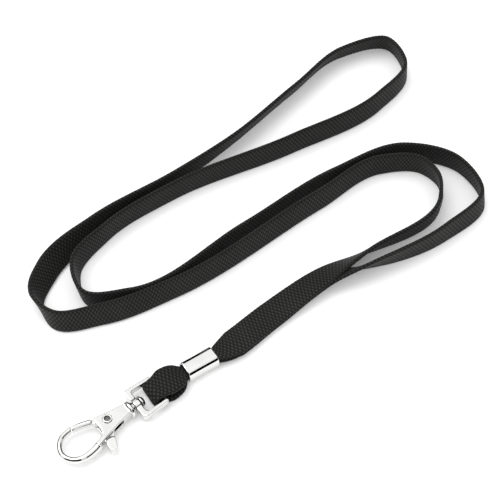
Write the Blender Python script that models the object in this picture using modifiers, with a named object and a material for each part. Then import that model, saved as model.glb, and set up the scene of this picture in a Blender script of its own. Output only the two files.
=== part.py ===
"""Neck lanyard: a flat woven strap closed by a metal sleeve, with a swivelling trigger hook.

Frame: metres, +Z up from the surface that the lanyard lies on. The origin is on the flat
underside of the sleeve. +X runs along the swivel's axis, from the hook towards the neck loop,
and +Y is to the left of it. The hook's gate is on its +Y side and the thumb tab on its -Y side.
"""
import math

import bmesh
import bpy
import numpy as np
from mathutils import Matrix, Vector

MM = 0.001

# Driving dimensions, in metres
AXIS_Z = 3.0 * MM            # height of the swivel's axis above the surface
GAP = 0.3 * MM               # clearance between pieces that touch
FIT = 0.15 * MM              # clearance of a shank in its hole

STRAP_WIDTH = 10.0 * MM
STRAP_THICK = 1.4 * MM
SQUEEZED_HALF = 2.2 * MM     # half-width of the strap inside the sleeve

FLARE_START = 6.4 * MM       # the strap widens this far from its end, past the sleeve's mouth
FLARE_LENGTH = 8.0 * MM
FLARE_POWER = 0.6            # below 1, the strap widens fast and then slowly
STRAP_ROWS = 112             # rows of faces along the neck strap
LUG_HALF = 4.1 * MM          # half-width of the strap between the bail's arms
LAYER_RISE = 0.85 * MM       # middle of each of the lug's layers from the sleeve's middle

SLEEVE_LENGTH = 11.4 * MM
SLEEVE_X = -0.7 * MM
SLEEVE_WIDTH = 6.8 * MM
SLEEVE_HEIGHT = 2 * AXIS_Z
SLEEVE_CORNER = 2.4 * MM
SLEEVE_WALL = 0.6 * MM
SLEEVE_Y = -0.5 * MM
SLEEVE_YAW = math.radians(-5.0)

BAR_X = -18.0 * MM           # crossbar that the strap turns round
BAR_RADIUS = 1.2 * MM
BAIL_BACK_X = -26.9 * MM     # outer face of the bail's base
BAIL_BASE = 2.1 * MM
BAIL_HALF_BASE = 6.2 * MM
BAIL_HALF_TIP = 5.7 * MM
BAIL_ARM = 1.3 * MM
BAIL_HEIGHT = 2.6 * MM
BAIL_TIP_X = -16.7 * MM
BAIL_CORNER = 1.5 * MM
BAIL_FILLET = 0.8 * MM
BAIL_SHOULDER = 1.6 * MM     # how much narrower the window is than the base, on each side
OVERLAP = 0.05 * MM          # how far joined shapes pass each other's faces
BOSS_RADIUS = 2.15 * MM

POST_RADIUS = 1.25 * MM
POST_HEAD_RADIUS = 2.2 * MM
POST_HEAD = 1.5 * MM
POST_DEPTH = 2.4 * MM        # how far the swivel rivet sits inside the hook's neck
FLANGE_X = -28.6 * MM        # middle of the hook's flange
FLANGE_RADIUS = 3.0 * MM
FLANGE_THICK = 1.3 * MM
NECK_RADIUS = 2.0 * MM

PIVOT = Vector((-36.75 * MM, 0.6 * MM, AXIS_Z))
BODY_HEIGHT = 4.4 * MM
SLOT_HEIGHT = 2.2 * MM
LEVER_THICK = 1.6 * MM
TAB_THICK = 2.2 * MM
CLAW_RADIUS = 1.1 * MM
CLAW_TALL = 1.35             # the claw and gate are this much taller than wide
CLAW_ROOT = 1.4              # the claw is this much thicker at its root
GATE_REACH = 11.6 * MM       # from the pivot to the gate's end
SHANK_RADIUS = 1.2 * MM
SHANK_BORE = 0.75 * MM
RIVET_HEAD_RADIUS = 1.75 * MM
RIVET_HEAD = 0.35 * MM
POCKET_RADIUS = 2.1 * MM
POCKET_DEPTH = 1.0 * MM
COIL_RADIUS = 1.6 * MM
WIRE_RADIUS = 0.14 * MM
COIL_TURNS = 2.25
COIL_PITCH = 2.4 * WIRE_RADIUS

# The neck strap's route in millimetres: x, y, lift above lying on the surface, lean in degrees.
# It leaves the sleeve as the upper layer and comes back under itself. Lean 0 stands on edge,
# and 90 lies flat, with the upper edge to the right of the way that the route runs.
UPPER, LOWER = 3.15, 1.45
ROUTE = [
    (0.4, -0.53, UPPER, 90), (9, -1.2, 2.9, 90), (30, 0.4, 1.7, 88), (52, 0.4, 1.7, 67),
    (69, -1.1, 0.1, 30), (102.5, -1.8, 0, 2), (109.7, 6, 0, -8), (109.3, 14.7, 0, -3),
    (98.3, 23.8, 0, 3), (72, 25.5, 0, 8), (10, 27.5, 0, 9), (-14.5, 33.9, 0, 13),
    (-28.6, 42.4, 0, 4), (-28.2, 52.6, 0, -22), (-18.9, 60, 0, -36), (4, 64.6, 0, -13),
    (38, 63.8, 0, 4), (64, 65, 0, 17), (96, 69.6, 0, 20), (120.8, 72.3, 0, 19),
    (137.1, 64.6, 0, 14), (133.8, 51.3, 0, 3), (116.8, 46.1, 0, 4), (80, 50.4, 0, 3),
    (34, 60, 0, 0), (6, 60.2, 0, 2), (-11, 54.5, 0, 12), (-15.2, 43, 0, 7), (-3.5, 33, 0, -10),
    (43, 31.1, 0, -2), (82, 30, 0, 0), (108.3, 23.1, 0, 0), (119.7, 7, 0, 5), (116.4, -9, 0, 7),
    (96.6, -12, 0, 2), (65, -5.2, 0, -31), (52, 0.1, 0, -66), (30, 0.6, 0, -88),
    (9, -1.2, 1.2, -90), (0.4, -0.53, LOWER, -90),
]


ALONG_X = Matrix(((0, 0, 1, 0), (1, 0, 0, 0), (0, 1, 0, 0), (0, 0, 0, 1)))   # Z becomes +X

# How much turn (degrees), twist (degrees), run and widening (mm) the strap has per row
TURN_PER_ROW, TWIST_PER_ROW, RUN_PER_ROW, FLARE_PER_ROW = 15, 20, 30, 1


# ---------------------------------------------------------------- helpers

def collection(name):
    made = bpy.data.collections.new(name)
    bpy.context.scene.collection.children.link(made)
    return made


def material(name, color, roughness, metallic):
    mat = bpy.data.materials.new(name)
    mat.use_nodes = True
    shader = mat.node_tree.nodes["Principled BSDF"]
    shader.inputs["Base Color"].default_value = (*color, 1.0)
    shader.inputs["Roughness"].default_value = roughness
    shader.inputs["Metallic"].default_value = metallic
    mat.diffuse_color = (*color, 1.0)
    return mat


def add_object(name, data, where, mat=None):
    made = bpy.data.objects.new(name, data)
    where.objects.link(made)
    if mat:
        data.materials.append(mat)
    return made


def smooth(made, angle=35):
    made.data.shade_smooth()
    made.data.set_sharp_from_angle(angle=math.radians(angle))


def apply_modifiers(made):
    """Replace an object's mesh by its evaluated mesh."""
    graph = bpy.context.evaluated_depsgraph_get()
    graph.update()
    mesh = bpy.data.meshes.new_from_object(made.evaluated_get(graph))
    made.modifiers.clear()
    made.data = mesh


def weld(made, distance=1e-5):
    bm = bmesh.new()
    bm.from_mesh(made.data)
    bmesh.ops.remove_doubles(bm, verts=bm.verts, dist=distance)
    bm.to_mesh(made.data)
    bm.free()


def curve_mesh(name, curve, where, mat=None):
    """Turn a filled curve into a closed mesh object."""
    guide = bpy.data.objects.new(name + "_curve", curve)
    where.objects.link(guide)
    graph = bpy.context.evaluated_depsgraph_get()
    graph.update()
    mesh = bpy.data.meshes.new_from_object(guide.evaluated_get(graph))
    bpy.data.objects.remove(guide)
    mesh.materials.clear()
    made = add_object(name, mesh, where, mat)
    weld(made)
    return made


def spline(curve, points, closed=False, radii=None):
    line = curve.splines.new("POLY")
    line.points.add(len(points) - 1)
    for i, point in enumerate(points):
        x, y, z = (*point, 0.0)[:3]
        line.points[i].co = (x, y, z, 1.0)
        if radii:
            line.points[i].radius = radii[i]
    line.use_cyclic_u = closed
    return line


def plate(name, outlines, height, where, mat=None):
    """A flat anticlockwise outline, then its holes, made a plate at the swivel's height."""
    curve = bpy.data.curves.new(name, "CURVE")
    curve.dimensions = "2D"
    curve.fill_mode = "BOTH"
    curve.extrude = height / 2
    for outline in outlines:
        spline(curve, outline, closed=True)
    made = curve_mesh(name, curve, where, mat)
    made.data.transform(Matrix.Translation((0, 0, AXIS_Z)))
    return made


def cylinder(name, radius, start, end, where, mat=None, segments=32):
    start, end = Vector(start), Vector(end)
    bm = bmesh.new()
    bmesh.ops.create_cone(bm, cap_ends=True, segments=segments, radius1=radius, radius2=radius,
                          depth=(end - start).length)
    turn = (end - start).to_track_quat("Z", "Y").to_matrix().to_4x4()
    bmesh.ops.transform(bm, matrix=Matrix.Translation((start + end) / 2) @ turn, verts=bm.verts)
    mesh = bpy.data.meshes.new(name)
    bm.to_mesh(mesh)
    bm.free()
    return add_object(name, mesh, where, mat)


def rod(name, points, radius, where, mat=None, radii=None, resolution=2):
    curve = bpy.data.curves.new(name, "CURVE")
    curve.dimensions = "3D"
    curve.bevel_depth = radius
    curve.bevel_resolution = resolution
    curve.use_fill_caps = True
    spline(curve, points, radii=radii)
    return curve_mesh(name, curve, where, mat)


def bevel(made, width, segments=2, angle=40):
    mod = made.modifiers.new("rounded_edges", "BEVEL")
    mod.width = width
    mod.segments = segments
    mod.limit_method = "ANGLE"
    mod.angle_limit = math.radians(angle)
    mod.use_clamp_overlap = True


def combine(made, other, operation):
    mod = made.modifiers.new(operation.lower(), "BOOLEAN")
    mod.object = other
    mod.operation = operation
    mod.solver = "EXACT"
    apply_modifiers(made)


def rounded_box(half_x, half_y, corner, steps=6):
    """Corner points of a rectangle with round corners, centred on the origin."""
    points = []
    for quarter, (sx, sy) in enumerate(((1, 1), (-1, 1), (-1, -1), (1, -1))):
        for step in range(steps + 1):
            angle = (quarter + step / steps) * math.pi / 2
            points.append((sx * (half_x - corner) + corner * math.cos(angle),
                           sy * (half_y - corner) + corner * math.sin(angle)))
    return points


def hermite(points, spacing, closed=False):
    """A smooth curve through points, with about spacing between its samples."""
    points = np.array(points, float)
    if closed:
        points = np.vstack([points[-1], points, points[0], points[1]])
    gaps = np.linalg.norm(np.diff(points[:, :2], axis=0), axis=1)
    slopes = np.diff(points, axis=0) / gaps[:, None]
    tangents = np.empty_like(points)
    blend = gaps[1:] + gaps[:-1]
    tangents[1:-1] = (slopes[:-1] * gaps[1:, None] + slopes[1:] * gaps[:-1, None]) / blend[:, None]
    tangents[0] = 2 * slopes[0] - tangents[1]
    tangents[-1] = 2 * slopes[-1] - tangents[-2]
    spans = range(1, len(points) - 2) if closed else range(len(points) - 1)
    samples = []
    for i in spans:
        count = max(2, round(gaps[i] / spacing))
        for u in np.arange(count) / count:
            samples.append((2 * u**3 - 3 * u**2 + 1) * points[i]
                           + (u**3 - 2 * u**2 + u) * gaps[i] * tangents[i]
                           + (3 * u**2 - 2 * u**3) * points[i + 1]
                           + (u**3 - u**2) * gaps[i] * tangents[i + 1])
    if not closed:
        samples.append(points[-1])
    return np.array(samples)


def ribbon(name, rows, thickness, where, mat):
    """A strap solid: rows of (centre, half-width vector), thickened, and kept off the floor."""
    bm = bmesh.new()
    verts = [(bm.verts.new(centre - half), bm.verts.new(centre + half)) for centre, half in rows]
    for (a, b), (c, d) in zip(verts, verts[1:]):
        bm.faces.new((a, b, d, c))
    mesh = bpy.data.meshes.new(name)
    bm.to_mesh(mesh)
    bm.free()
    made = add_object(name, mesh, where, mat)
    mod = made.modifiers.new("thickness", "SOLIDIFY")
    mod.thickness = thickness
    mod.offset = 0.0
    apply_modifiers(made)
    for vert in made.data.vertices:
        vert.co.z = max(vert.co.z, 0.0)
    return made


# ---------------------------------------------------------------- the strap

def strap_rows():
    """Centres and half-width vectors along the neck strap, closer together where it turns."""
    fine = hermite(ROUTE, 1.0)
    lean = np.radians(fine[:, 3])
    half_width = STRAP_WIDTH / MM / 2
    half_thick = STRAP_THICK / MM / 2
    height = half_width * np.abs(np.cos(lean)) + half_thick * np.abs(np.sin(lean)) + fine[:, 2]
    centres = np.column_stack([fine[:, 0], fine[:, 1], height])
    ways = np.gradient(centres, axis=0)
    ways /= np.linalg.norm(ways, axis=1)[:, None]
    right = np.column_stack([ways[:, 1], -ways[:, 0], np.zeros(len(ways))])
    right /= np.linalg.norm(right, axis=1)[:, None]
    steps = np.linalg.norm(np.diff(centres, axis=0), axis=1)
    along = np.concatenate([[0], np.cumsum(steps)])
    from_end = np.minimum(along, along[-1] - along)
    flare = np.clip((from_end - FLARE_START / MM) / (FLARE_LENGTH / MM), 0, 1) ** FLARE_POWER
    halves = SQUEEZED_HALF / MM + (half_width - SQUEEZED_HALF / MM) * flare
    turn = np.degrees(np.arccos(np.clip((ways[1:] * ways[:-1]).sum(1), -1, 1)))
    effort = turn / TURN_PER_ROW + np.abs(np.diff(fine[:, 3])) / TWIST_PER_ROW
    effort += steps / RUN_PER_ROW + np.abs(np.diff(halves)) / FLARE_PER_ROW
    effort = np.concatenate([[0], np.cumsum(effort)])
    chosen = np.searchsorted(effort, np.linspace(0, effort[-1], STRAP_ROWS))
    mouths = np.searchsorted(along, [FLARE_START / MM, along[-1] - FLARE_START / MM])
    chosen = np.unique(np.clip([*chosen, *mouths], 0, len(fine) - 1))
    rows = []
    for i in chosen:
        across = np.array([0, 0, 1.0]) * math.cos(lean[i]) + right[i] * math.sin(lean[i])
        rows.append((Vector(centres[i] * MM), Vector(across * halves[i] * MM)))
    return rows


def lug_rows():
    """The strap's short loop round the bail's crossbar, from inside the sleeve and back."""
    radius = (BAR_RADIUS + GAP + STRAP_THICK / 2) / MM
    bar_x, axis_z = BAR_X / MM, AXIS_Z / MM
    wide, at_bar, squeezed = STRAP_WIDTH / MM / 2, LUG_HALF / MM, SQUEEZED_HALF / MM
    rise = LAYER_RISE / MM
    mouth_x = (SLEEVE_X - SLEEVE_LENGTH / 2) / MM
    upper = [(-0.3, rise, squeezed), (-6.8, rise, squeezed), (-7.9, 1.0, 3.7), (-9.5, 1.4, 4.8),
             (-12.0, 1.95, wide), (-15.2, radius, wide), (-16.1, radius, at_bar)]
    rows = [(x, rise, half) for x, rise, half in upper]
    for step in range(1, 10):
        angle = math.pi / 2 + math.pi * step / 10
        rows.append((bar_x + radius * math.cos(angle), radius * math.sin(angle), at_bar))
    rows += [(x, -rise, half) for x, rise, half in reversed(upper)]
    made = []
    for x, rise, half in rows:
        y = SLEEVE_Y / MM + math.tan(SLEEVE_YAW) * max(x, mouth_x)
        made.append((Vector((x, y, axis_z + rise)) * MM, Vector((0, half * MM, 0))))
    return made


def make_straps(parts, mat):
    ribbon("neck_strap", strap_rows(), STRAP_THICK, parts, mat)
    ribbon("strap_lug", lug_rows(), STRAP_THICK, parts, mat)


# ---------------------------------------------------------------- sleeve and bail

def make_sleeve(parts, mat):
    outer = rounded_box(SLEEVE_WIDTH / 2, SLEEVE_HEIGHT / 2, SLEEVE_CORNER)
    inner = rounded_box(SLEEVE_WIDTH / 2 - SLEEVE_WALL, SLEEVE_HEIGHT / 2 - SLEEVE_WALL,
                        SLEEVE_CORNER - SLEEVE_WALL)
    made = plate("crimp_sleeve", [outer, inner], SLEEVE_LENGTH, parts, mat)
    made.data.transform(Matrix.Translation((0, 0, -AXIS_Z)))
    made.data.transform(ALONG_X)
    made.location = (SLEEVE_X, SLEEVE_Y, AXIS_Z)
    made.rotation_euler = (0, 0, SLEEVE_YAW)
    smooth(made)
    return made


def bail_outline():
    """Half of the bail's outline seen from above, mirrored by the caller."""
    back, tip = BAIL_BACK_X, BAIL_TIP_X
    inner = back + BAIL_BASE
    corner = BAIL_CORNER
    half = [(back, 0.0)]
    for step in range(5):
        angle = math.pi - step / 4 * math.pi / 2
        half.append((back + corner + corner * math.cos(angle),
                     BAIL_HALF_BASE - corner + corner * math.sin(angle)))
    tip_round = BAIL_ARM / 2
    for step in range(5):
        angle = math.pi / 2 - step / 4 * math.pi
        half.append((tip - tip_round + tip_round * math.cos(angle),
                     BAIL_HALF_TIP - tip_round + tip_round * math.sin(angle)))
    fillet = BAIL_FILLET
    window = BAIL_HALF_BASE - BAIL_SHOULDER
    for step in range(4):
        angle = math.pi / 2 + step / 3 * math.pi / 2
        half.append((inner + fillet + fillet * math.cos(angle),
                     window - fillet + fillet * math.sin(angle)))
    half.append((inner, 0.0))
    return half


def make_bail(parts, tools, mat):
    half = bail_outline()
    outline = half + [(x, -y) for x, y in reversed(half[1:-1])]
    made = plate("bail", [outline[::-1]], BAIL_HEIGHT, parts, mat)
    bevel(made, 0.5 * MM, 2)
    apply_modifiers(made)
    reach = BAIL_HALF_TIP - BAIL_ARM / 2
    bar = cylinder("bail_crossbar_tool", BAR_RADIUS, (BAR_X, -reach, AXIS_Z),
                   (BAR_X, reach, AXIS_Z), tools, segments=24)
    combine(made, bar, "UNION")
    boss = cylinder("bail_boss_tool", BOSS_RADIUS, (BAIL_BACK_X - OVERLAP, 0, AXIS_Z),
                    (BAIL_BACK_X + BAIL_BASE + OVERLAP, 0, AXIS_Z), tools)
    combine(made, boss, "UNION")
    bore = cylinder("bail_bore_tool", POST_RADIUS + FIT, (BAIL_BACK_X - 2 * MM, 0, AXIS_Z),
                    (BAIL_BACK_X + BAIL_BASE + 2 * MM, 0, AXIS_Z), tools)
    combine(made, bore, "DIFFERENCE")
    smooth(made)
    return made


# ---------------------------------------------------------------- hook

def make_swivel_rivet(parts, mat):
    """A turned rivet: shank in the hook's neck, domed head inside the bail."""
    head_x = BAIL_BACK_X + BAIL_BASE + GAP
    shank_x = FLANGE_X - FLANGE_THICK / 2 - POST_DEPTH
    profile = [(0.0, head_x + POST_HEAD), (0.9 * MM, head_x + POST_HEAD),
               (1.6 * MM, head_x + 0.85 * POST_HEAD), (POST_HEAD_RADIUS, head_x + 0.45 * POST_HEAD),
               (POST_HEAD_RADIUS, head_x), (POST_RADIUS, head_x), (POST_RADIUS, shank_x),
               (0.0, shank_x)]
    place = Matrix.Translation((0, 0, AXIS_Z)) @ ALONG_X
    return turned("swivel_rivet", profile, parts, mat, place)


def turned(name, profile, parts, mat, place, steps=32):
    """A profile of (radius, height) turned round its own Z axis with a Screw modifier."""
    bm = bmesh.new()
    verts = [bm.verts.new((radius, 0, height)) for radius, height in profile]
    for a, b in zip(verts, verts[1:]):
        bm.edges.new((a, b))
    if profile[0][0] > 0:
        bm.edges.new((verts[-1], verts[0]))
    mesh = bpy.data.meshes.new(name)
    bm.to_mesh(mesh)
    bm.free()
    made = add_object(name, mesh, parts, mat)
    mod = made.modifiers.new("turned", "SCREW")
    mod.steps = steps
    mod.render_steps = steps
    mod.use_merge_vertices = True
    mod.merge_threshold = 1e-5
    mod.use_normal_calculate = True
    apply_modifiers(made)
    made.data.transform(place)
    bm = bmesh.new()
    bm.from_mesh(made.data)
    bmesh.ops.remove_doubles(bm, verts=bm.verts, dist=1e-6)
    bmesh.ops.recalc_face_normals(bm, faces=bm.faces)
    bm.to_mesh(made.data)
    bm.free()
    smooth(made)
    return made


def to_metres(points):
    return [tuple(value * MM for value in point) for point in points]


# The hook seen from above, in millimetres: the two cheeks' outline, then the claw's middle line.
CHEEKS = [(-29.2, 1.9), (-34.0, 2.6), (-39.7, 3.7), (-40.5, 3.2), (-40.5, 1.4), (-40.4, -0.9),
          (-41.2, -2.7), (-42.6, -3.5), (-44.4, -4.3), (-44.4, -5.6), (-42.6, -5.2), (-40.0, -4.3),
          (-34.5, -2.9), (-29.2, -1.9)]
SLOT = [(-42.1, -8.0), (-42.1, -3.1), (-44.0, -2.0), (-44.0, 7.0), (-35.4, 7.0), (-33.9, 1.8),
        (-33.0, 0.2), (-32.6, -2.0), (-32.6, -8.0)]
CLAW = [(-43.0, -4.4), (-45.4, -5.1), (-48.0, -5.5), (-51.4, -5.1), (-54.0, -3.2), (-55.1, -0.3),
        (-54.1, 2.6), (-51.8, 4.8), (-49.0, 5.5), (-46.0, 5.35)]
# The lever, measured from the pivot: hub, arm to the gate, and the stem of the thumb tab.
LEVER = [(2.5, -0.6), (2.2, 1.4), (0.6, 2.5), (-1.8, 2.8), (-4.6, 3.6), (-4.7, 2.3), (-3.0, 0.6),
         (-3.2, -1.6), (-4.3, -4.4), (-4.6, -6.6), (-2.0, -6.8), (-0.5, -4.4), (1.4, -2.2)]
TAB = [(-1.7, -5.9), (-2.3, -8.4), (-3.3, -10.0), (-4.7, -10.2), (-5.4, -8.7), (-5.1, -6.8),
       (-4.4, -5.6), (-3.0, -5.5)]
GATE = [(-4.25, 3.2), (-6.0, 3.75), (-8.6, 4.5), (-12.6, 4.95)]


def taller(made):
    """Stretch a bar's section upwards and downwards from the swivel's height."""
    up = Matrix.Translation((0, 0, AXIS_Z))
    made.data.transform(up @ Matrix.Diagonal((1, 1, CLAW_TALL, 1)) @ up.inverted())


def make_hook(parts, tools, mat):
    made = plate("hook_body", [to_metres(CHEEKS)], BODY_HEIGHT, parts, mat)
    bevel(made, 0.45 * MM, 2, angle=60)
    apply_modifiers(made)
    neck_end = FLANGE_X + FLANGE_THICK / 2
    neck = cylinder("hook_neck_tool", NECK_RADIUS, (-31.5 * MM, 0, AXIS_Z),
                    (BAIL_BACK_X - GAP, 0, AXIS_Z), tools)
    combine(made, neck, "UNION")
    flange = cylinder("hook_flange_tool", FLANGE_RADIUS, (neck_end - FLANGE_THICK, 0, AXIS_Z),
                      (neck_end, 0, AXIS_Z), tools)
    bevel(flange, 0.35 * MM, 2)
    apply_modifiers(flange)
    combine(made, flange, "UNION")
    slot = plate("hook_slot_tool", [to_metres(SLOT)], SLOT_HEIGHT, tools)
    combine(made, slot, "DIFFERENCE")
    line = hermite(CLAW, 0.8)
    points = [(x * MM, y * MM, AXIS_Z) for x, y in line]
    taper = CLAW_ROOT - 1.0
    radii = [1.0 + taper * max(0.0, 1.0 - i / 14) for i in range(len(points))]
    claw = rod("hook_claw_tool", points, CLAW_RADIUS, tools, radii=radii, resolution=5)
    taller(claw)
    up = Vector((0, 0, 4 * MM))
    tip = cylinder("hook_tip_tool", GATE_REACH + GAP, PIVOT - up, PIVOT + up, tools, segments=96)
    guard = plate("hook_tip_side_tool", [to_metres([(-60, 2), (-30, 2), (-30, 20), (-60, 20)])],
                  10 * MM, tools)
    combine(tip, guard, "INTERSECT")
    combine(claw, tip, "DIFFERENCE")
    combine(made, claw, "UNION")
    pin_hole = cylinder("hook_pin_tool", SHANK_RADIUS + FIT, PIVOT - up, PIVOT + up, tools)
    combine(made, pin_hole, "DIFFERENCE")
    bore_start = FLANGE_X - FLANGE_THICK / 2 - POST_DEPTH - GAP
    bore = cylinder("hook_bore_tool", POST_RADIUS + FIT, (bore_start, 0, AXIS_Z),
                    (BAIL_BACK_X + 1 * MM, 0, AXIS_Z), tools)
    combine(made, bore, "DIFFERENCE")
    smooth(made)
    return made


def around_pivot(points):
    return [(PIVOT.x + x * MM, PIVOT.y + y * MM) for x, y in points]


def make_lever(parts, tools, mat):
    made = plate("gate_lever", [around_pivot(hermite(LEVER, 1.2, closed=True))], LEVER_THICK,
                 parts, mat)
    tab = plate("lever_tab_tool", [around_pivot(hermite(TAB, 0.9, closed=True))], TAB_THICK, tools)
    bevel(tab, 0.5 * MM, 2)
    apply_modifiers(tab)
    combine(made, tab, "UNION")
    line = hermite([(PIVOT.x / MM + x, PIVOT.y / MM + y) for x, y in GATE], 1.2)
    gate = rod("lever_gate_tool", [(x * MM, y * MM, AXIS_Z) for x, y in line], CLAW_RADIUS, tools,
               resolution=5)
    taller(gate)
    up = Vector((0, 0, 4 * MM))
    reach = cylinder("lever_reach_tool", GATE_REACH, PIVOT - up, PIVOT + up, tools, segments=96)
    combine(gate, reach, "INTERSECT")
    combine(made, gate, "UNION")
    pin_hole = cylinder("lever_pin_tool", SHANK_RADIUS + FIT, PIVOT - up, PIVOT + up, tools)
    combine(made, pin_hole, "DIFFERENCE")
    top = PIVOT + Vector((0, 0, LEVER_THICK / 2))
    pocket = cylinder("lever_pocket_tool", POCKET_RADIUS, top - Vector((0, 0, POCKET_DEPTH)),
                      top + up, tools)
    combine(made, pocket, "DIFFERENCE")
    smooth(made)
    return made


def make_pivot_rivet(parts, mat):
    """A hollow rivet, flared over both cheeks."""
    face = BODY_HEIGHT / 2 + OVERLAP
    top = face + RIVET_HEAD
    profile = [(SHANK_BORE + 0.25 * MM, top), (RIVET_HEAD_RADIUS - 0.3 * MM, top),
               (RIVET_HEAD_RADIUS, face + 0.1 * MM), (RIVET_HEAD_RADIUS, face),
               (SHANK_RADIUS, face), (SHANK_RADIUS, -face), (RIVET_HEAD_RADIUS, -face),
               (RIVET_HEAD_RADIUS, -face - 0.1 * MM), (RIVET_HEAD_RADIUS - 0.3 * MM, -top),
               (SHANK_BORE + 0.25 * MM, -top), (SHANK_BORE, -top + 0.3 * MM),
               (SHANK_BORE, top - 0.3 * MM)]
    return turned("pivot_rivet", profile, parts, mat, Matrix.Translation(PIVOT))


def make_spring(parts, mat):
    """The torsion spring that closes the gate, coiled round the rivet in the lever's pocket."""
    floor = PIVOT.z + LEVER_THICK / 2 - POCKET_DEPTH + 0.1 * MM + WIRE_RADIUS
    rise = COIL_PITCH
    points = []
    count = round(COIL_TURNS * 20)
    for i in range(count + 1):
        angle = math.tau * COIL_TURNS * i / count
        points.append((PIVOT.x + COIL_RADIUS * math.cos(angle),
                       PIVOT.y + COIL_RADIUS * math.sin(angle),
                       floor + rise * COIL_TURNS * i / count))
    made = rod("gate_spring", points, WIRE_RADIUS, parts, mat, resolution=1)
    smooth(made, 60)
    return made


def joint_axis(name, place, parts, parent=None):
    """An empty on a joint's axis, for the pieces that turn about it."""
    axis = add_object(name, None, parts)
    axis.location = place
    if parent:
        hang(axis, parent)
    return axis


def hang(made, axis):
    """Parent a piece to a joint's empty without moving it."""
    bpy.context.view_layer.update()
    made.parent = axis
    made.matrix_parent_inverse = axis.matrix_world.inverted()


def build():
    for old in list(bpy.data.objects):
        bpy.data.objects.remove(old)
    parts = collection("lanyard")
    tools = collection("cutters")
    fabric = material("black_braid", (0.028, 0.028, 0.026), 0.85, 0.0)
    nickel = material("nickel_plate", (0.86, 0.86, 0.85), 0.12, 1.0)
    steel = material("spring_steel", (0.55, 0.55, 0.56), 0.25, 1.0)
    make_straps(parts, fabric)
    make_sleeve(parts, nickel)
    bail_axis = joint_axis("bail_axis", (BAR_X, 0, AXIS_Z), parts)
    hang(make_bail(parts, tools, nickel), bail_axis)
    swivel_axis = joint_axis("swivel_axis", (BAIL_BACK_X, 0, AXIS_Z), parts, bail_axis)
    hang(make_swivel_rivet(parts, nickel), swivel_axis)
    hang(make_hook(parts, tools, nickel), swivel_axis)
    hang(make_pivot_rivet(parts, nickel), swivel_axis)
    hang(make_spring(parts, steel), swivel_axis)
    gate_axis = joint_axis("gate_axis", PIVOT, parts, swivel_axis)
    hang(make_lever(parts, tools, nickel), gate_axis)
    for tool in tools.objects:
        tool.hide_render = True
        tool.display_type = "WIRE"


build()
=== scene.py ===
"""The looks of a black braided neck lanyard with a nickel-plated trigger hook.

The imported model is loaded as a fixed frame, in metres with +Z up. The strap, the metal pieces and
the spring are made again here with a fine surface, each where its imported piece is, and ride on
the same bodies.
"""
import math

import bmesh
import bpy
import numpy as np
from mathutils import Matrix, Vector


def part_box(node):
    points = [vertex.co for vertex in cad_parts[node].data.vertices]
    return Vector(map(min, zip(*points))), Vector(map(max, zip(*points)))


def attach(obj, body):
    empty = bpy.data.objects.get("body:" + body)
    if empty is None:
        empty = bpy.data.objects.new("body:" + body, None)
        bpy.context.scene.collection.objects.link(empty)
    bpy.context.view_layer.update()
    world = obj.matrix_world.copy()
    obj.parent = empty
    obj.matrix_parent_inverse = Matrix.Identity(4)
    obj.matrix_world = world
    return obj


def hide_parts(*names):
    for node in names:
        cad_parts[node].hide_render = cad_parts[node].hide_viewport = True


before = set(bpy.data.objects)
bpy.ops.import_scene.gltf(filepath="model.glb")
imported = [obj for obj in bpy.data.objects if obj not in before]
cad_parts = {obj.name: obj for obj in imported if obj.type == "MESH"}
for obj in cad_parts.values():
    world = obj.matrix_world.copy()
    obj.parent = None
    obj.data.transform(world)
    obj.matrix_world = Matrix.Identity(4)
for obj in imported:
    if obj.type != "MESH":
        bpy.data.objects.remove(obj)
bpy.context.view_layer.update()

MM = 0.001
AXIS_Z = 3.0 * MM             # height of the swivel's axis above the surface

STRAP_WIDTH = 10.0 * MM
STRAP_THICK = 1.4 * MM
SQUEEZED_HALF = 2.2 * MM      # half-width of the strap inside the sleeve
FLARE_START = 4.9 * MM        # from the strap's end to where it begins to widen
FLARE_LENGTH = 8.0 * MM       # the stretch over which it reaches its full width
FLARE_POWER = 0.55
GAP = 0.3 * MM                # clearance between pieces that touch

BAR_X = -18.0 * MM            # crossbar that the strap turns round
BAR_RADIUS = 1.2 * MM
LUG_HALF = 4.2 * MM           # half-width of the strap round the crossbar
LUG_BEND_X = -5.8 * MM        # the lug is parallel to the sleeve up to here, then runs along X
LUG_SKEW = 0.12               # how far the lug's width slants at the crossbar, as a slope
SKEW_START = -10.0 * MM       # X at which the slant begins
SKEW_LENGTH = 7.0 * MM
SLEEVE_LENGTH = 11.4 * MM
SLEEVE_WIDTH = 6.8 * MM
SLEEVE_CORNER = 2.4 * MM
SLEEVE_WALL = 0.6 * MM
SLEEVE_SEAM = 0.12 * MM       # gap between the rolled sheet's edges, underneath
SLEEVE_WAIST = 0.06 * MM      # how far each side of the sleeve draws in at its middle
SLEEVE_X, SLEEVE_Y = -0.7 * MM, -0.5 * MM
SLEEVE_YAW = math.radians(-5.0)

PIVOT = Vector((-36.75, 0.6, 3.0)) * MM

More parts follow.
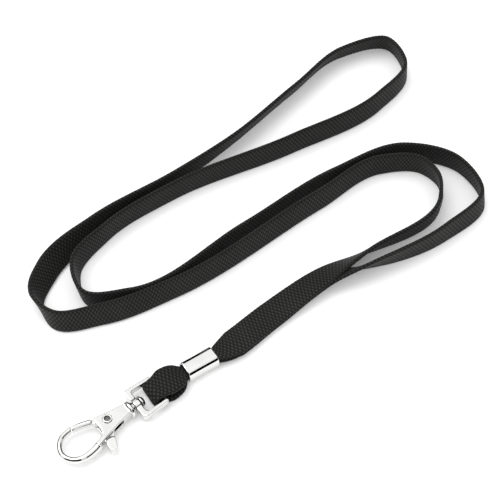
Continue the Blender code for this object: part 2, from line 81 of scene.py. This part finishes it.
# The neck strap's route in metres: x, y, lift above lying on the surface, lean in degrees.
# Lean 0 stands on edge, 90 lies flat, with the upper edge to the right of the way it runs.
UPPER, LOWER = 0.00315, 0.00145
ROUTE = [
    (0.0004, -0.00053, UPPER, 90), (0.009, -0.0012, 0.0029, 90), (0.03, 0.0004, 0.0017, 88),
    (0.052, 0.0004, 0.0017, 67), (0.069, -0.0011, 0.0001, 30), (0.1025, -0.0018, 0, 2),
    (0.1097, 0.006, 0, -8), (0.1093, 0.0147, 0, -3), (0.0983, 0.0238, 0, 3), (0.072, 0.0255, 0, 8),
    (0.01, 0.0275, 0, 9), (-0.0145, 0.0339, 0, 13), (-0.0286, 0.0424, 0, 4),
    (-0.0282, 0.0526, 0, -22), (-0.0189, 0.06, 0, -36), (0.004, 0.0646, 0, -13),
    (0.038, 0.0638, 0, 4), (0.064, 0.065, 0, 17), (0.096, 0.0696, 0, 20), (0.1208, 0.0723, 0, 19),
    (0.1371, 0.0646, 0, 14), (0.1338, 0.0513, 0, 3), (0.1168, 0.0461, 0, 4), (0.08, 0.0504, 0, 3),
    (0.034, 0.06, 0, 0), (0.006, 0.0602, 0, 2), (-0.011, 0.0545, 0, 12), (-0.0152, 0.043, 0, 7),
    (-0.0035, 0.033, 0, -10), (0.043, 0.0311, 0, -2), (0.082, 0.03, 0, 0), (0.1083, 0.0231, 0, 0),
    (0.1197, 0.007, 0, 5), (0.1164, -0.009, 0, 7), (0.0966, -0.012, 0, 2),
    (0.065, -0.0052, 0, -31), (0.052, 0.0001, 0, -66), (0.03, 0.0006, 0, -88),
    (0.009, -0.0012, 0.0012, -90), (0.0004, -0.00053, LOWER, -90),
]

# The braid: how long a stitch is along the strap, and how many run round it.
STITCH = 1.33 * MM
STITCHES_ROUND = 9
RINGS_PER_STITCH = 4
SIDES = 4 * STITCHES_ROUND
RELIEF = 0.09 * MM            # how far a stitch stands out of the strap


# ---------------------------------------------------------------- camera

def make_camera():
    """Above and in front of the hook, looking along the strap towards the neck loop."""
    target = Vector((41.8, 26.45, 0.0)) * MM
    distance, elevation, heading = 0.620, math.radians(55.0), math.radians(38.5)
    ahead = Vector((math.cos(elevation) * math.sin(heading),
                    math.cos(elevation) * math.cos(heading), -math.sin(elevation)))
    data = bpy.data.cameras.new("camera")
    data.lens = 130.5
    data.sensor_width = 36.0
    data.clip_start, data.clip_end = 0.01, 10.0
    camera = bpy.data.objects.new("camera", data)
    camera.location = target - distance * ahead
    camera.rotation_euler = ahead.to_track_quat("-Z", "Y").to_euler()
    bpy.context.scene.collection.objects.link(camera)
    bpy.context.scene.camera = camera


# ---------------------------------------------------------------- materials

class Nodes:
    """Short names for adding shader nodes to a material."""

    def __init__(self, name, color, roughness, metallic):
        self.material = bpy.data.materials.new(name)
        self.material.use_nodes = True
        self.tree = self.material.node_tree
        self.shader = self.tree.nodes["Principled BSDF"]
        self.shader.inputs["Base Color"].default_value = (*color, 1.0)
        self.shader.inputs["Roughness"].default_value = roughness
        self.shader.inputs["Metallic"].default_value = metallic

    def add(self, kind, inputs=(), **settings):
        node = self.tree.nodes.new("ShaderNode" + kind)
        for key, value in settings.items():
            setattr(node, key, value)
        for key, value in dict(inputs).items():
            if isinstance(value, bpy.types.NodeSocket):
                self.tree.links.new(value, node.inputs[key])
            else:
                node.inputs[key].default_value = value
        return node

    def math(self, operation, a, b=0.0, c=0.0):
        return self.add("Math", {0: a, 1: b, 2: c}, operation=operation).outputs[0]

    def mix(self, factor, dark, light):
        """Blend two colours. Inputs 6 and 7 and output 2 are the Mix node's colour sockets."""
        made = self.add("Mix", {"Factor": factor}, data_type="RGBA")
        made.inputs[6].default_value = (*dark, 1.0)
        made.inputs[7].default_value = (*light, 1.0)
        return made.outputs[2]

    def noise(self, vector, scale, detail):
        made = self.add("TexNoise", {"Vector": vector, "Scale": scale, "Detail": detail})
        return made.outputs["Fac"]

    def link(self, socket, name):
        self.tree.links.new(socket, self.shader.inputs[name])


def braid_material():
    """Black polyester braid: rows of stitches, each a bundle of fine fibres on its diagonal, with painted
    highlight on the stitch tops and painted shade in the gaps between them.
    """
    n = Nodes("black_braid", (0.012, 0.012, 0.011), 0.8, 0.0)
    place = n.add("UVMap", uv_map="braid").outputs["UV"]
    split = n.add("SeparateXYZ", {0: place})
    along, across = split.outputs["X"], split.outputs["Y"]
    rise = n.math("COSINE", n.math("MULTIPLY", along, math.tau))
    swing = n.math("COSINE", n.math("MULTIPLY", across, math.tau))
    stitch = n.math("MULTIPLY_ADD", n.math("MULTIPLY", rise, swing), 0.5, 0.5)
    dot = n.math("POWER", stitch, 2.6)
    fibres = n.math("SINE", n.math("MULTIPLY", n.math("ADD", along, across), math.tau * 6))
    spot = n.add("TexCoord").outputs["Object"]
    fuzz = n.noise(spot, 5000.0, 3.0)
    patch = n.noise(spot, 90.0, 2.0)
    # Colour: the stitch tops are painted lighter and the gaps between them painted darker, as painted
    # highlight and painted shade; the fibre lines, fuzz and patches are the yarn's own tone.
    stitch_shade_and_tone = n.math("MULTIPLY_ADD", fibres, 0.03, dot)
    stitch_shade_and_tone = n.math("MULTIPLY_ADD", n.math("SUBTRACT", fuzz, 0.5), 0.5, stitch_shade_and_tone)
    stitch_shade_and_tone = n.math("MULTIPLY_ADD", n.math("SUBTRACT", patch, 0.5), 0.35, stitch_shade_and_tone)
    ramp = n.add("ValToRGB", {"Fac": stitch_shade_and_tone})
    low, high = ramp.color_ramp.elements
    low.position, low.color = 0.0, (0.0030, 0.0030, 0.0025, 1)
    high.position, high.color = 1.0, (0.033, 0.033, 0.0308, 1)
    n.link(ramp.outputs["Color"], "Base Color")
    n.link(n.math("MULTIPLY_ADD", dot, -0.25, 0.85), "Roughness")
    height = n.math("MULTIPLY_ADD", fibres, 0.05, dot)
    height = n.math("MULTIPLY_ADD", fuzz, 0.25, height)
    bump = n.add("Bump", {"Height": height, "Strength": 0.5, "Distance": 0.12 * MM})
    n.link(bump.outputs["Normal"], "Normal")
    n.shader.inputs["Sheen Weight"].default_value = 0.06
    n.shader.inputs["Sheen Roughness"].default_value = 0.4
    n.shader.inputs["Specular IOR Level"].default_value = 0.25
    return n.material


def nickel_material():
    """Bright nickel plate with the faint waviness and fine scratches of a polished casting."""
    n = Nodes("nickel_plate", (0.70, 0.70, 0.69), 0.07, 1.0)
    spot = n.add("TexCoord").outputs["Object"]
    cloud = n.noise(spot, 220.0, 3.0)
    scuff = n.noise(n.add("Mapping", {"Vector": spot, "Scale": (0.15, 1.0, 1.0)}).outputs[0],
                    3500.0, 2.0)
    rough = n.math("MULTIPLY_ADD", cloud, 0.07, 0.03)
    rough = n.math("MULTIPLY_ADD", n.math("GREATER_THAN", scuff, 0.66), 0.06, rough)
    n.link(rough, "Roughness")
    n.link(n.mix(cloud, (0.65, 0.65, 0.64), (0.75, 0.75, 0.74)), "Base Color")
    bump = n.add("Bump", {"Height": n.math("MULTIPLY_ADD", scuff, 0.2, cloud),
                          "Strength": 0.15, "Distance": 0.05 * MM})
    n.link(bump.outputs["Normal"], "Normal")
    return n.material


def steel_material():
    """Drawn spring wire: a duller grey, with fine marks along it."""
    n = Nodes("spring_wire", (0.55, 0.55, 0.56), 0.25, 1.0)
    spot = n.add("TexCoord").outputs["Object"]
    marks = n.noise(spot, 4000.0, 3.0)
    n.link(n.math("MULTIPLY_ADD", marks, 0.25, 0.15), "Roughness")
    n.link(n.mix(marks, (0.42, 0.42, 0.43), (0.62, 0.62, 0.63)), "Base Color")
    return n.material


# ---------------------------------------------------------------- the strap

def hermite(points, spacing):
    """A smooth curve through points, with about spacing between its samples."""
    points = np.array(points, float)
    gaps = np.linalg.norm(np.diff(points[:, :2], axis=0), axis=1)
    slopes = np.diff(points, axis=0) / gaps[:, None]
    tangents = np.empty_like(points)
    blend = gaps[1:] + gaps[:-1]
    tangents[1:-1] = (slopes[:-1] * gaps[1:, None] + slopes[1:] * gaps[:-1, None]) / blend[:, None]
    tangents[0] = 2 * slopes[0] - tangents[1]
    tangents[-1] = 2 * slopes[-1] - tangents[-2]
    samples = []
    for i, gap in enumerate(gaps):
        count = max(2, round(gap / spacing))
        for u in np.arange(count) / count:
            samples.append((2 * u**3 - 3 * u**2 + 1) * points[i]
                           + (u**3 - 2 * u**2 + u) * gap * tangents[i]
                           + (3 * u**2 - 2 * u**3) * points[i + 1]
                           + (u**3 - u**2) * gap * tangents[i + 1])
    samples.append(points[-1])
    return np.array(samples)


def resample(values, along, at):
    """Rows of values at new distances along a line."""
    return np.column_stack([np.interp(at, along, values[:, k]) for k in range(values.shape[1])])


def unit(vectors):
    return vectors / np.linalg.norm(vectors, axis=-1, keepdims=True)


def lengths(points):
    """The distance along a line to each of its points."""
    return np.concatenate([[0], np.cumsum(np.linalg.norm(np.diff(points, axis=0), axis=1))])


def strap_line():
    """Centres, the direction across the strap and its half-width, along the neck strap."""
    fine = hermite(ROUTE, spacing=0.5 * MM)
    lean = np.radians(fine[:, 3])
    height = (STRAP_WIDTH / 2 * np.abs(np.cos(lean)) + STRAP_THICK / 2 * np.abs(np.sin(lean))
              + fine[:, 2])
    centres = np.column_stack([fine[:, :2], height])
    along = lengths(centres)
    count = round(along[-1] / STITCH) * RINGS_PER_STITCH
    at = np.linspace(0, along[-1], count + 1)
    centres = resample(centres, along, at)
    lean = np.interp(at, along, lean)
    ways = unit(np.gradient(centres, axis=0))
    right = unit(np.column_stack([ways[:, 1], -ways[:, 0], np.zeros(len(ways))]))
    across = right * np.sin(lean)[:, None] + np.array([0, 0, 1.0]) * np.cos(lean)[:, None]
    from_end = np.minimum(at, at[-1] - at)
    flare = np.clip((from_end - FLARE_START) / FLARE_LENGTH, 0, 1) ** FLARE_POWER
    half = SQUEEZED_HALF + (STRAP_WIDTH / 2 - SQUEEZED_HALF) * flare
    return centres, across, half, at


def flat_section(half_width, half_thick, sides):
    """Points round a flat strap with full edges, evenly spaced, with their outward directions."""
    corner = half_thick
    straight = 2 * (half_width - corner)
    whole = 2 * straight + math.tau * corner
    made = []
    for i in range(sides):
        at = whole * i / sides
        if at < straight:
            made.append((half_width - corner - at, half_thick, 0.0, 1.0))
            continue
        at -= straight
        if at < math.pi * corner:
            turn = at / corner
            made.append((corner - half_width - corner * math.sin(turn), corner * math.cos(turn),
                         -math.sin(turn), math.cos(turn)))
            continue
        at -= math.pi * corner
        if at < straight:
            made.append((corner - half_width + at, -half_thick, 0.0, -1.0))
            continue
        turn = (at - straight) / corner
        made.append((half_width - corner + corner * math.sin(turn), -corner * math.cos(turn),
                     math.sin(turn), -math.cos(turn)))
    return np.array(made)


def braid_mesh(name, centres, across, half, at):
    """A braided flat strap swept along its line, with every stitch standing out of it."""
    ways = unit(np.gradient(centres, axis=0))
    across = unit(across - (across * ways).sum(1)[:, None] * ways)
    face = np.cross(across, ways)
    rings = len(centres)
    phase_round = np.arange(SIDES) / SIDES * STITCHES_ROUND
    full = flat_section(STRAP_WIDTH / 2 - RELIEF / 2, STRAP_THICK / 2 - RELIEF / 2, SIDES)
    thin = flat_section(SQUEEZED_HALF, STRAP_THICK / 2 - RELIEF / 2, SIDES)
    share = ((half - SQUEEZED_HALF) / (STRAP_WIDTH / 2 - SQUEEZED_HALF))[:, None, None]
    section = thin[None] * (1 - share) + full[None] * share
    stitch = (np.cos(math.tau * at / STITCH)[:, None]
              * np.cos(math.tau * phase_round)[None, :]) * RELIEF / 2
    wide = section[:, :, 0] + section[:, :, 2] * stitch
    deep = section[:, :, 1] + section[:, :, 3] * stitch
    verts = (centres[:, None] + across[:, None] * wide[:, :, None] + face[:, None]
             * deep[:, :, None])
    ring, side = np.meshgrid(np.arange(rings - 1), np.arange(SIDES), indexing="ij")
    after = (side + 1) % SIDES
    quads = np.stack([ring * SIDES + side, ring * SIDES + after, (ring + 1) * SIDES + after,
                      (ring + 1) * SIDES + side], axis=-1).reshape(-1, 4)
    mesh = bpy.data.meshes.new(name)
    faces = quads.tolist()
    faces.append(list(range(SIDES))[::-1])
    faces.append([(rings - 1) * SIDES + i for i in range(SIDES)])
    mesh.from_pydata(verts.reshape(-1, 3).tolist(), [], faces)
    uv = mesh.uv_layers.new(name="braid")
    step = at / STITCH
    u = np.stack([step[ring], step[ring], step[ring + 1], step[ring + 1]], axis=-1)
    edge = STITCHES_ROUND / SIDES
    v = np.stack([side * edge, (side + 1) * edge, (side + 1) * edge, side * edge], axis=-1)
    coords = np.zeros((len(mesh.loops), 2), np.float32)
    coords[:quads.size, 0] = u.reshape(-1)
    coords[:quads.size, 1] = v.reshape(-1)
    uv.data.foreach_set("uv", coords.reshape(-1))
    mesh.shade_smooth()
    made = bpy.data.objects.new(name, mesh)
    bpy.context.scene.collection.objects.link(made)
    return made


def make_strap(fabric):
    centres, across, half, at = strap_line()
    made = braid_mesh("braided_neck_strap", centres, across, half, at)
    made.data.materials.append(fabric)
    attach(made, "root")
    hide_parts("neck_strap")


def lug_line():
    """The strap's short loop round the bail's crossbar, from inside the sleeve and back."""
    radius = BAR_RADIUS + GAP + STRAP_THICK / 2
    upper = [(-0.3, 0.85, 2.2), (-6.3, 0.85, 2.2), (-7.2, 0.95, 2.9), (-8.4, 1.2, 4.1),
             (-9.9, 1.55, 4.85), (-11.8, 2.0, 5.15), (-14.6, 2.25, 5.15), (-16.2, 2.25, 4.6),
             (-17.4, 2.2, 4.3)]
    rows = [(x * MM, rise * MM, half * MM) for x, rise, half in upper]
    turn = np.linspace(math.pi / 2, math.pi * 3 / 2, 13)[1:-1]
    loose = BAR_X - GAP
    rows += [(loose + radius * math.cos(a), radius * math.sin(a), LUG_HALF) for a in turn]
    rows += [(x * MM, -rise * MM, half * MM) for x, rise, half in reversed(upper)]
    rows = hermite(rows, spacing=0.2 * MM)
    y = SLEEVE_Y + math.tan(SLEEVE_YAW) * np.maximum(rows[:, 0], LUG_BEND_X)
    centres = np.column_stack([rows[:, 0], y, AXIS_Z + rows[:, 1]])
    along = lengths(centres)
    count = round(along[-1] / STITCH) * RINGS_PER_STITCH
    at = np.linspace(0, along[-1], count + 1)
    centres = resample(centres, along, at)
    skew = LUG_SKEW * np.clip((SKEW_START - centres[:, 0]) / SKEW_LENGTH, 0, 1)
    across = unit(np.column_stack([skew, np.ones(len(at)), np.zeros(len(at))]))
    return centres, across, np.interp(at, along, rows[:, 2]), at


def make_lug(fabric):
    made = braid_mesh("braided_strap_lug", *lug_line())
    made.data.materials.append(fabric)
    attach(made, "root")
    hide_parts("strap_lug")


# ---------------------------------------------------------------- metal

CAST_VOXEL = 0.1 * MM
ALONG_X = Matrix(((0, 0, 1, 0), (1, 0, 0, 0), (0, 1, 0, 0), (0, 0, 0, 1)))   # turns Z into X


def stand_for(made, node, body, material):
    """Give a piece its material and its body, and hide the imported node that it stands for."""
    made.data.materials.clear()
    made.data.materials.append(material)
    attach(made, body)
    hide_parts(node)


def cast(node, name, body, metal, rounds):
    """A smooth casting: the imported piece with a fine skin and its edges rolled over."""
    made = bpy.data.objects.new(name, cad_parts[node].data.copy())
    bpy.context.scene.collection.objects.link(made)
    skin = made.modifiers.new("skin", "REMESH")
    skin.mode = "VOXEL"
    skin.voxel_size = CAST_VOXEL
    soft = made.modifiers.new("soft", "SMOOTH")
    soft.factor = 0.5
    soft.iterations = rounds
    graph = bpy.context.evaluated_depsgraph_get()
    graph.update()
    mesh = bpy.data.meshes.new_from_object(made.evaluated_get(graph))
    made.modifiers.clear()
    made.data = mesh
    mesh.shade_smooth()
    stand_for(made, node, body, metal)


def finish_piece(made, node, body, material):
    """Shade a piece with its sharp edges kept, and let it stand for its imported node."""
    made.data.shade_smooth()
    made.data.set_sharp_from_angle(angle=math.radians(50))
    stand_for(made, node, body, material)


def grid_mesh(name, points, closed_rows, caps):
    """A skin over rows of points, with each row closed, and its ends joined or capped."""
    rows, sides = points.shape[:2]
    faces = []
    for r in range(rows if closed_rows else rows - 1):
        after = (r + 1) % rows
        for i in range(sides):
            j = (i + 1) % sides
            faces.append((r * sides + i, r * sides + j, after * sides + j, after * sides + i))
    if caps:
        faces.append(tuple(range(sides))[::-1])
        faces.append(tuple((rows - 1) * sides + i for i in range(sides)))
    mesh = bpy.data.meshes.new(name)
    mesh.from_pydata(points.reshape(-1, 3).tolist(), [], faces)
    made = bpy.data.objects.new(name, mesh)
    bpy.context.scene.collection.objects.link(made)
    bm = bmesh.new()
    bm.from_mesh(mesh)
    bmesh.ops.remove_doubles(bm, verts=bm.verts, dist=1e-7)
    bmesh.ops.recalc_face_normals(bm, faces=bm.faces)
    bm.to_mesh(mesh)
    bm.free()
    return made


def make_sleeve(metal):
    """A strip of plated sheet rolled round the strap, its edges meeting underneath."""
    quarter, length_steps, lip_steps = 18, 25, 7
    reach, drop = SLEEVE_WIDTH / 2 - SLEEVE_CORNER, AXIS_Z - SLEEVE_CORNER
    section = [(SLEEVE_SEAM / 2, -AXIS_Z, 0.0, -1.0)]
    for corner, (sx, sy) in enumerate(((1, -1), (1, 1), (-1, 1), (-1, -1))):
        for step in range(quarter + 1):
            a = (corner + step / quarter - 1) * math.pi / 2
            section.append((sx * reach + SLEEVE_CORNER * math.cos(a),
                            sy * drop + SLEEVE_CORNER * math.sin(a), math.cos(a), math.sin(a)))
    section.append((-SLEEVE_SEAM / 2, -AXIS_Z, 0.0, -1.0))
    lip = SLEEVE_WALL / 2
    end = SLEEVE_LENGTH / 2 - lip
    loop = [(x, 0.0) for x in np.linspace(-end, end, length_steps)]
    loop += [(end + lip * math.sin(a), -lip + lip * math.cos(a))
             for a in np.linspace(0, math.pi, lip_steps)[1:-1]]
    loop += [(x, -SLEEVE_WALL) for x in np.linspace(end, -end, length_steps)]
    loop += [(-end - lip * math.sin(a), -lip - lip * math.cos(a))
             for a in np.linspace(0, math.pi, lip_steps)[1:-1]]
    points = np.empty((len(section), len(loop), 3))
    for i, (y, z, ny, nz) in enumerate(section):
        for j, (x, depth) in enumerate(loop):
            waist = depth - SLEEVE_WAIST * math.cos(x / end * math.pi / 2)
            points[i, j] = (x, y + ny * waist, z + nz * waist)
    made = grid_mesh("rolled_sleeve", points, closed_rows=False, caps=True)
    place = Matrix.Translation((SLEEVE_X, SLEEVE_Y, AXIS_Z)) @ Matrix.Rotation(SLEEVE_YAW, 4, "Z")
    made.data.transform(place)
    finish_piece(made, "crimp_sleeve", "root", metal)


def turned(name, profile, place, steps=72):
    """A closed profile of (radius, height) turned round its own Z axis."""
    points = np.empty((steps, len(profile), 3))
    for i in range(steps):
        a = math.tau * i / steps
        for j, (radius, height) in enumerate(profile):
            points[i, j] = (radius * math.cos(a), radius * math.sin(a), height)
    made = grid_mesh(name, points, closed_rows=True, caps=False)
    made.data.transform(place)
    return made


def rounded(profile, radius, steps=5):
    """A profile in millimetres with its corners rounded, as points in metres."""
    made = []
    count = len(profile)
    for i, here in enumerate(profile):
        before, after = Vector(profile[i - 1]), Vector(profile[(i + 1) % count])
        here = Vector(here)
        reach = min(radius, (before - here).length * 0.45, (after - here).length * 0.45)
        start = here + (before - here).normalized() * reach
        end = here + (after - here).normalized() * reach
        if here.x < 1e-6:
            made.append(here)
            continue
        for step in range(steps):
            u = step / (steps - 1)
            made.append(start.lerp(here, u).lerp(here.lerp(end, u), u))
    return [(p.x * MM, p.y * MM) for p in made]


def make_swivel_rivet(metal):
    """The rivet in the hook's neck, with its peened head inside the bail."""
    low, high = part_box("swivel_rivet")
    length = (high.x - low.x) / MM
    shank, head, top = 1.25, 2.2, 1.3                # radii, in millimetres
    under, rim = length - 1.5, length - 0.9          # heights of the head's lower and upper edge
    profile = rounded([(0, 0), (shank, 0), (shank, under), (head, under),
                       (head, rim), (top, length), (0, length)], 0.35)
    place = Matrix.Translation((low.x, 0, AXIS_Z)) @ ALONG_X
    made = turned("peened_swivel_rivet", profile, place)
    finish_piece(made, "swivel_rivet", "hook", metal)


def make_pivot_rivet(metal):
    """The hollow rivet that the lever turns on, flared over both cheeks."""
    low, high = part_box("pivot_rivet")
    half = (high.z - low.z) / MM / 2
    bore, mouth, rim, flare, shank = 0.9, 1.05, 1.45, 1.75, 1.2   # radii, in millimetres
    under, inside = half - 0.35, half - 0.9          # heights of the flare's underside and the bore's end
    profile = rounded([(bore, inside), (mouth, half), (rim, half), (flare, under),
                       (shank, under), (shank, -under), (flare, -under), (rim, -half),
                       (mouth, -half), (bore, -inside)], 0.2)
    made = turned("hollow_pivot_rivet", profile, Matrix.Translation(PIVOT))
    finish_piece(made, "pivot_rivet", "hook", metal)


def make_spring(steel):
    """The coil that closes the gate, round the rivet in the lever's pocket."""
    low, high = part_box("gate_spring")
    wire = 0.14 * MM
    radius = (high.x - low.x) / 2 - wire
    turns, steps, sides = 2.25, 48, 10
    count = round(turns * steps)
    rise = (high.z - low.z - 2 * wire) / turns
    points = np.empty((count + 1, sides, 3))
    for i in range(count + 1):
        a = math.tau * turns * i / count
        out = Vector((math.cos(a), math.sin(a), 0))
        centre = Vector((PIVOT.x, PIVOT.y, low.z + wire + rise * turns * i / count))
        for j in range(sides):
            b = math.tau * j / sides
            point = centre + out * (radius + wire * math.cos(b))
            points[i, j] = point + Vector((0, 0, wire * math.sin(b)))
    made = grid_mesh("coiled_gate_spring", points, closed_rows=False, caps=True)
    finish_piece(made, "gate_spring", "hook", steel)


def make_metal(metal, steel):
    cast("hook_body", "cast_hook", "hook", metal, rounds=45)
    cast("gate_lever", "cast_gate_lever", "gate", metal, rounds=30)
    cast("bail", "cast_bail", "bail", metal, rounds=55)
    make_sleeve(metal)
    make_swivel_rivet(metal)
    make_pivot_rivet(metal)
    make_spring(steel)


# ---------------------------------------------------------------- room

def soft_light(name, size, power, place, target):
    data = bpy.data.lights.new(name, "AREA")
    data.shape = "DISK"
    data.size = size
    data.energy = power
    lamp = bpy.data.objects.new(name, data)
    lamp.location = place
    lamp.rotation_euler = (Vector(target) - Vector(place)).to_track_quat("-Z", "Y").to_euler()
    bpy.context.scene.collection.objects.link(lamp)


FLOOR_DROP = 0.02 * MM        # keeps the floor just under the pieces that lie on it
FLOOR_GLOW = 0.12
HORIZON, ZENITH = 0.7, 1.35   # brightness of the surround, low down and overhead

# Black flags round the table, seen only in reflections. In degrees: heading, lower and upper
# height, width.
FLAGS = [
    (30, 2, 40, 80), (125, 2, 34, 66), (215, 2, 52, 70), (300, 2, 40, 60),
]
FLAG_DISTANCE = 1.5
FLAG_STEPS = 8


def make_flag(heading, low, high, width, black):
    """A curved black card whose edges are at these angles, as seen from the object."""
    bm = bmesh.new()
    columns = []
    for step in range(FLAG_STEPS + 1):
        angle = math.radians(heading + width * (step / FLAG_STEPS - 0.5))
        x, y = FLAG_DISTANCE * math.cos(angle), FLAG_DISTANCE * math.sin(angle)
        rise = [FLAG_DISTANCE * math.tan(math.radians(a)) for a in (low, high)]
        columns.append([bm.verts.new((x, y, z)) for z in rise])
    for left, right in zip(columns, columns[1:]):
        bm.faces.new((left[0], right[0], right[1], left[1]))
    mesh = bpy.data.meshes.new("black_flag")
    bm.to_mesh(mesh)
    bm.free()
    mesh.materials.append(black)
    flag = bpy.data.objects.new("black_flag", mesh)
    bpy.context.scene.collection.objects.link(flag)
    flag.visible_camera = False
    flag.visible_diffuse = False
    flag.visible_shadow = False


def make_room():
    """A white floor and surround, one large soft light from above, and the black flags."""
    bpy.ops.mesh.primitive_plane_add(size=8, location=(0, 0, -FLOOR_DROP))
    floor = bpy.context.object
    floor.name = "floor"
    paper = Nodes("white_paper", (0.92, 0.92, 0.92), 0.9, 0.0)
    paper.shader.inputs["Emission Color"].default_value = (1, 1, 1, 1)
    paper.shader.inputs["Emission Strength"].default_value = FLOOR_GLOW
    floor.data.materials.append(paper.material)
    world = bpy.data.worlds.new("studio")
    world.use_nodes = True
    tree = world.node_tree
    sky = tree.nodes["Background"]
    split = tree.nodes.new("ShaderNodeSeparateXYZ")
    tree.links.new(tree.nodes.new("ShaderNodeTexCoord").outputs["Generated"], split.inputs[0])
    dome = tree.nodes.new("ShaderNodeMapRange")
    tree.links.new(split.outputs["Z"], dome.inputs["Value"])
    dome.inputs["To Min"].default_value = HORIZON
    dome.inputs["To Max"].default_value = ZENITH
    tree.links.new(dome.outputs["Result"], sky.inputs["Strength"])
    sky.inputs["Color"].default_value = (1, 1, 1, 1)
    bpy.context.scene.world = world
    soft_light("soft_top", size=1.2, power=9.0, place=(-0.3, 0.5, 1.4), target=(0.04, 0.03, 0))
    black = Nodes("black_flag", (0.0, 0.0, 0.0), 1.0, 0.0)
    black.shader.inputs["Specular IOR Level"].default_value = 0.0
    for heading, low, high, width in FLAGS:
        make_flag(heading, low, high, width, black.material)
    bpy.context.scene.view_settings.view_transform = "Standard"


def build():
    make_camera()
    fabric = braid_material()
    nickel = nickel_material()
    make_strap(fabric)
    make_lug(fabric)
    make_metal(nickel, steel_material())
    make_room()


build()
